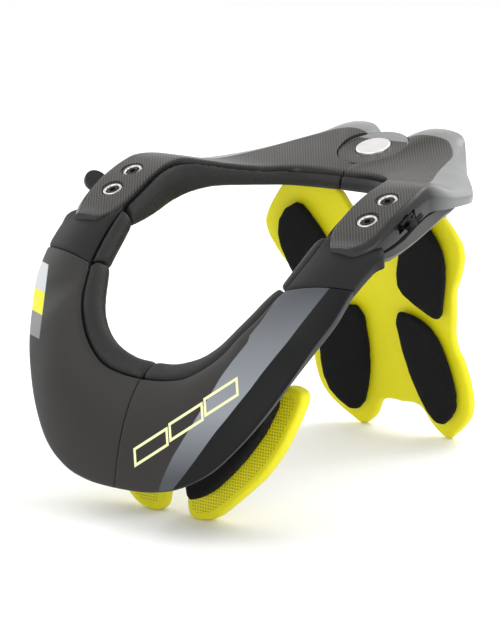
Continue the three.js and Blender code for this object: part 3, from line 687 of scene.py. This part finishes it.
def wing_section(t):
    """Ring of the wing and how far each point lies inside its panel."""
    row = blend(WING, t)
    inner, ridge, outer = mm(row, 0), mm(row, 3), mm(row, 6)
    drop = row[9] * AXES[2]
    span = ridge - inner
    width = np.linalg.norm(span)
    z = np.array([0, 0, 1.0])
    ring = [inner - z * 1.4, inner + span * 0.006 - z * 0.5, inner + span * 0.02 - z * 0.1]
    inside = [0.0, 0.8, 1.2]
    for f in np.linspace(0.05, 0.965, 34):
        ring.append(inner + span * f + z * 0.3 * math.sin(math.pi * f))
        inside.append(min(width * f + 1.2, width * (1 - f)))
    for f in np.linspace(0.0, 1.0, 7):
        rise = 0.7 * math.sin(math.pi * f) * (1 - 0.2 * f) - 0.25 * (f == 0)
        ring.append(ridge + (outer - ridge) * f + z * rise)
        inside.append(-np.linalg.norm(outer - ridge) * f - 0.3)
    drop += 2.3 * math.sin(math.pi * min(max((t - 1.5) / 9, 0), 1)) ** 0.5
    drop = max(drop, 5.0) if t < 2 else drop
    wall = min(2.0, drop * 0.5)
    ring += [outer + [0.45, 0, -wall * 0.35], outer + [0.6, 0, -wall]]
    ring += [outer + [0.3, 0, -drop * 0.8], outer - z * drop]
    ring += [ridge - z * drop * 0.85, inner * 0.5 + ridge * 0.5 - z * 5.2, inner - z * 5]
    inside += [-6.0] * 7
    return ring, inside


steps = 260
sections, inside = [], []
for i in range(steps + 1):
    t = (len(WING) - 1) * i / steps
    ring, values = wing_section(t)
    front = np.linalg.norm(ring[20] - wing_section(0)[0][20]) if t < 2 else 99
    sections.append(ring)
    inside.append([min(v, front - 2.0) if v > -1 else v for v in values])
wing = loft("wing_left_cover", sections)
tree = KDTree(sum(len(s) for s in sections))
flat, outer = [], []
for s, values in zip(sections, inside):
    for k, (p, v) in enumerate(zip(s, values)):
        tree.insert(Vector(to_frame(p)), len(flat))
        flat.append(v)
        outer.append(float(2 < k < len(s) - 2))
tree.balance()
tools = [turned("well", [(0, -18), (HINGE_R + GAP, -18), (HINGE_R + GAP, 24), (0, 24)], 96, TO_PIVOT)]
for place, matrix in SCREWS:
    r = SCREW_R + 1.0
    hole = [(0, -2.6), (r - 0.7, -2.6), (r - 0.7, -0.5), (r, 0.6), (r, 20), (0, 20)]
    tools.append(turned("hole", hole, 48, matrix))


def box_body(name, size, place, matrix):
    verts = []
    for x in (-0.5, 0.5):
        for y in (-0.5, 0.5):
            for z in (-0.5, 0.5):
                corner = Vector((x * size[0], y * size[1], z * size[2])) + Vector(place)
                verts.append(to_frame(matrix @ corner))
    faces = [(0, 1, 3, 2), (4, 6, 7, 5), (0, 4, 5, 1), (2, 3, 7, 6), (0, 2, 6, 4), (1, 5, 7, 3)]
    return mesh_object(name, verts, faces)


pocket_place = (3.4, 0, LEVER_T / 2 + GAP - POCKET_H / 2)
tools.append(box_body("pocket", (LEVER_T + 8, POCKET_L, POCKET_H), pocket_place, LEVER))
tools.append(box_body("neck_room", (6, 5, 3), (2.8, 0, 3.2), LEVER))
tools.append(box_body("other_side", (200, 900, 900), (-100 + GAP / 2, 0, 0), Matrix.Identity(4)))
cut(wing, *tools)
panel, lobe = [], []
for v in wing.data.vertices:
    near = [(k, 1 / (d + 1e-5)) for _, k, d in tree.find_n(v.co, 3)]
    total = sum(w for _, w in near)
    behind = min(max((v.co.y * 1000 - SHIFT_Y - LOBE_START) / LOBE_FADE, 0), 1)
    panel.append(sum(flat[k] * w for k, w in near) / total)
    lobe.append(behind * sum(outer[k] * w for k, w in near) / total)
attribute(wing, "panel", panel)
attribute(wing, "lobe", lobe)
wedge_top = [(GAP / 2, 99.9, 188.1), (0.4, 99.9, 188.1), (2.9, 110.8, 191.4), (GAP / 2, 110.8, 191.3)]
wedge = mesh_object("wing_left_wedge", [to_frame((x, y, z - d)) for d in (0, 4) for x, y, z in wedge_top],
                    [(0, 1, 2, 3), (7, 6, 5, 4), (0, 4, 5, 1), (1, 5, 6, 2), (2, 6, 7, 3), (3, 7, 4, 0)])
attribute(wedge, "panel", [3.0] * 8)
for side, sign in SIDES:
    w = wing if sign > 0 else mirrored(wing, "wing_right_cover")
    k = wedge if sign > 0 else mirrored(wedge, "wing_right_wedge")
    dress(w, "carbon", f"{side}_half", "carbon", f"wing_{side}", angle=30)
    dress(k, "carbon", f"{side}_half", "carbon", angle=30)

# Hinge plate, cap and screws
plate_profile = [
    (0, -HINGE_T), (HINGE_R, -HINGE_T), (HINGE_R, -0.7), (HINGE_R - 0.1, -0.3), (HINGE_R - 0.4, 0),
    (HINGE_R - 0.7, 0), (HINGE_R - 0.85, 0), (CAP_R + 1.1, 0), (CAP_R + 0.5, -0.2),
    (CAP_R + GAP, -0.6), (CAP_R + GAP, -1), (0, -1),
]
round_plate = turned("hinge_plate_cover", plate_profile, 128, TO_PIVOT)
pivot = TO_PIVOT.inverted()
local = [
    pivot @ Vector((v.co.x * 1000, v.co.y * 1000 - SHIFT_Y, v.co.z * 1000))
    for v in round_plate.data.vertices
]
attribute(round_plate, "panel", [min(11.5 - p.y, HINGE_R - 1.2 - p.xy.length) for p in local])
# Rounded rim of the hinge plate, marked for the painted shade of the gap between plate and wing.
attribute(round_plate, "seam_shade", [float(p.xy.length > HINGE_R - 0.75 and p.z > -1) for p in local])
attribute(round_plate, "lobe", [min(max(p.y / 8, 0), 1) for p in local])
dress(round_plate, "carbon", "rear_core", "carbon", "rear_hinge_plate", angle=30)
cap_profile = [
    (0, -0.7), (CAP_R, -0.7), (CAP_R, CAP_H - 0.8), (CAP_R - 0.15, CAP_H - 0.35),
    (CAP_R - 0.6, CAP_H - 0.05), (CAP_R - 1.2, CAP_H), (CAP_R * 0.6, CAP_H + 0.15), (0, CAP_H + 0.22),
]
dress(turned("pivot_cap_cover", cap_profile, 96, TO_PIVOT), "silver", "rear_core", "silver", "pivot_cap")
for place, matrix in SCREWS:
    ring = turned(f"screw_{place}_left_ring", [
        (SCREW_R - 1.9, -2.3), (SCREW_R, -2.3), (SCREW_R, 0.2), (SCREW_R - 0.25, 0.5), (SCREW_R - 0.6, 0.62),
        (SCREW_R - 1.3, 0.6), (SCREW_R - 1.7, 0.3), (SCREW_R - 1.9, -0.4), (SCREW_R - 1.9, -2.2)], 64, matrix)
    socket = turned("socket", [(0, -1.6), (2.1, -1.6), (2.1, 6), (0, 6)], 6, matrix)
    head = turned(f"screw_{place}_left_head", [
        (0, -2.2), (SCREW_R - 2.2, -2.2), (SCREW_R - 2.2, -0.9), (SCREW_R - 2.4, -0.5),
        (SCREW_R - 2.8, -0.25), (2.7, 0.1), (0, 0.15)], 48, matrix)
    cut(head, socket)
    for side, sign in SIDES:
        r = ring if sign > 0 else mirrored(ring, f"screw_{place}_right_ring")
        h = head if sign > 0 else mirrored(head, f"screw_{place}_right_head")
        dress(r, "steel", f"{side}_half", "screw_steel", f"screw_{place}_{side}")
        dress(h, "black", f"{side}_half", "screw_steel")

# Back support with its midline ridge
half_ring = smooth_ring(BACK_PLATE, False)
whole = np.concatenate([half_ring, (half_ring * [-1, 1])[::-1][1:-1]])


def back_face(x, z):
    lean = math.hypot(x, BACK_RIDGE) - BACK_RIDGE * 0.3
    return BACK_Y * LENGTH - BACK_SLOPE * z + BACK_DISH * (1 - lean / HALF * 1.6)


back = plate("back_support_cover", whole, back_face, BACK_T, 2.2)
dress(back, "yellow", "rear_core", "yellow_plastic", "back_support", angle=50)


def foot_face(x, z):
    return FOOT_Y * LENGTH + FOOT_SLOPE * z


foot_ring = smooth_ring(FOOT, True)
foot = plate("chest_support_left_cover", foot_ring, foot_face, FOOT_T, 2.6, 2.5)
band = []
for v in foot.data.vertices:
    x, z = v.co.x * 1000, v.co.z * 1000
    band.append(min(ring_distance(foot_ring, x, z) - 4.6, 9.0))
attribute(foot, "band", band)
for side, sign in SIDES:
    f = foot if sign > 0 else mirrored(foot, "chest_support_right_cover")
    dress(f, "dotted", f"{side}_half", "yellow_plastic", f"chest_support_{side}", angle=50)

# Soft pieces: each starts from its solid's space, is swollen by cloth and is kept within a cap
CLOTH_FRAMES = 12


def soft(node, name, voxel, cap, pressure, material, slot, body, sink):
    mesh = nodes[node].data.copy()
    obj = link(name, mesh)
    bm = bmesh.new()
    bm.from_mesh(mesh)
    bmesh.ops.remove_doubles(bm, verts=bm.verts, dist=1e-5)
    bm.to_mesh(mesh)
    bm.free()
    m = obj.modifiers.new("remesh", "REMESH")
    m.mode = "VOXEL"
    m.voxel_size = voxel
    apply_modifiers(obj)
    m = obj.modifiers.new("calm", "LAPLACIANSMOOTH")
    m.iterations = 2
    m.lambda_factor = 0.4
    m.use_volume_preserve = True
    m = obj.modifiers.new("even", "SMOOTH")
    m.factor = 0.5
    m.iterations = 2
    m = obj.modifiers.new("sink", "DISPLACE")
    m.strength = -sink
    m.mid_level = 0
    apply_modifiers(obj)
    rest = np.array([v.co for v in obj.data.vertices])
    cloth = obj.modifiers.new("swell", "CLOTH")
    cloth.settings.use_pressure = True
    cloth.settings.uniform_pressure_force = pressure
    cloth.settings.effector_weights.gravity = 0
    cloth.settings.quality = 5
    cloth.settings.tension_stiffness = 30
    cloth.settings.compression_stiffness = 30
    cloth.settings.bending_stiffness = 4
    cloth.collision_settings.use_self_collision = False
    for f in range(CLOTH_FRAMES):
        bpy.context.scene.frame_set(f + 1)
    apply_modifiers(obj)
    bpy.context.scene.frame_set(1)
    now = np.array([v.co for v in obj.data.vertices])
    move = now - rest
    move = move - move.mean(0)
    size = np.linalg.norm(move, axis=1, keepdims=True)
    move *= np.minimum(1, cap / np.maximum(size, 1e-9))
    obj.data.vertices.foreach_set("co", (rest + move).astype(np.float32).ravel())
    obj.data.update()
    m = obj.modifiers.new("settle", "SMOOTH")
    m.factor = 0.5
    m.iterations = 4
    apply_modifiers(obj)
    m = obj.modifiers.new("finer", "SUBSURF")
    m.levels = m.render_levels = 1
    apply_modifiers(obj)
    dress(obj, material, body, slot, node, angle=180)
    return obj


SOFT = [
    # piece, voxel, cap, pressure, look, slot, fill, how far the start is drawn in
    ("front_pad", 0.0017, 0.0005, 3, "edge", "edge_pad", 0.9, -0.0007),
    ("side_pad", 0.0015, 0.0004, 3, "edge", "edge_pad", 0.9, -0.0003),
    ("rear_pad", 0.0011, 0.0003, 3, "edge", "edge_pad", 0.9, 0.0001),
    ("shoulder_pad", 0.0022, 0.0004, 3, "foam", "foam_pad", 0.9, 0.0003),
    ("chest_pad", 0.0024, 0.0012, 4, "foam", "foam_pad", 0.8, 0.0003),
    ("back_pad_upper", 0.0016, 0.0012, 4, "foam", "foam_pad", 0.8, 0.0003),
    ("back_pad_lower", 0.0016, 0.0012, 4, "foam", "foam_pad", 0.8, 0.0003),
]
for side, _ in SIDES:
    for piece, voxel, cap, pressure, look, slot, fill, sink in SOFT:
        node = f"{piece}_{side}"
        body = "rear_core" if piece.startswith("back") else f"{side}_half"
        soft(node, f"{node}_cover", voxel, cap, pressure, look, slot, body, sink)

# Solid nodes that keep their CAD shape


def keep(node, material, width=0.0005, angle=32):
    obj = nodes[node]
    obj.data.materials.clear()
    obj.data.materials.append(MAT[material])
    weld = obj.modifiers.new("weld", "WELD")
    weld.merge_threshold = 1e-5
    bevel = obj.modifiers.new("bevel", "BEVEL")
    bevel.width = width
    bevel.segments = 3
    bevel.limit_method = "ANGLE"
    bevel.angle_limit = math.radians(angle)
    bevel.harden_normals = False
    for p in obj.data.polygons:
        p.use_smooth = True
    normals = obj.modifiers.new("normals", "WEIGHTED_NORMAL")
    normals.keep_sharp = True


for side, _ in SIDES:
    keep(f"lever_{side}", "knob", 0.0006)
    keep(f"under_plate_{side}", "grey", 0.0009)
    keep(f"stem_{side}", "dark", 0.0012)
keep("hinge_bracket", "dark", 0.0005)

# Floor, light and camera
floor_mesh = bpy.data.meshes.new("floor")
floor_mesh.from_pydata([(-6, -6, 0), (6, -6, 0), (6, 6, 0), (-6, 6, 0)], [], [(0, 1, 2, 3)])
floor = link("floor", floor_mesh)
floor.location.z = -0.0002
ground = Nodes("floor", (0.92, 0.92, 0.92), 0.9)
ground.colour(ground.mix(ground.noise(3, 2), (0.95, 0.95, 0.95), (0.99, 0.99, 0.99)))
floor_mesh.materials.append(ground.done(0.001))


def area_light(name, place, aim, size, power, colour=(1, 1, 1)):
    data = bpy.data.lights.new(name, "AREA")
    data.shape = "RECTANGLE"
    data.size, data.size_y = size
    data.energy = power
    data.color = colour
    obj = bpy.data.objects.new(name, data)
    bpy.context.scene.collection.objects.link(obj)
    obj.location = place
    obj.rotation_euler = (Vector(place) - Vector(aim)).to_track_quat("Z", "Y").to_euler()
    return obj


middle = (0, 0, 0.12)
area_light("key", (-0.5, -1.3, 1.6), middle, (1.2, 1.2), 8)
area_light("rear_top", (0.4, 1.2, 1.5), middle, (1.4, 0.9), 12)
area_light("right_fill", (1.7, -0.1, 0.7), middle, (0.9, 1.2), 6, (0.96, 0.98, 1.0))
area_light("left_fill", (-1.6, 0.1, 0.8), middle, (0.9, 1.2), 5)
area_light("front_fill", (0.7, -1.6, 0.5), middle, (0.8, 0.8), 4)

bpy.context.scene.view_settings.view_transform = "Standard"
world = bpy.data.worlds.new("studio")
world.use_nodes = True
world.node_tree.nodes["Background"].inputs["Color"].default_value = (1, 1, 1, 1)
world.node_tree.nodes["Background"].inputs["Strength"].default_value = 1.0
bpy.context.scene.world = world

cam_data = bpy.data.cameras.new("camera")
cam_data.sensor_width = 36
cam_data.lens = CAM_F * cam_data.sensor_width / max(PICTURE)
cam_data.sensor_fit = "AUTO"
cam_data.clip_start, cam_data.clip_end = 0.05, 50
camera = bpy.data.objects.new("camera", cam_data)
bpy.context.scene.collection.objects.link(camera)
camera.location = AIM + BACK * CAM_D
camera.rotation_euler = BACK.to_track_quat("Z", "Y").to_euler()
bpy.context.scene.camera = camera
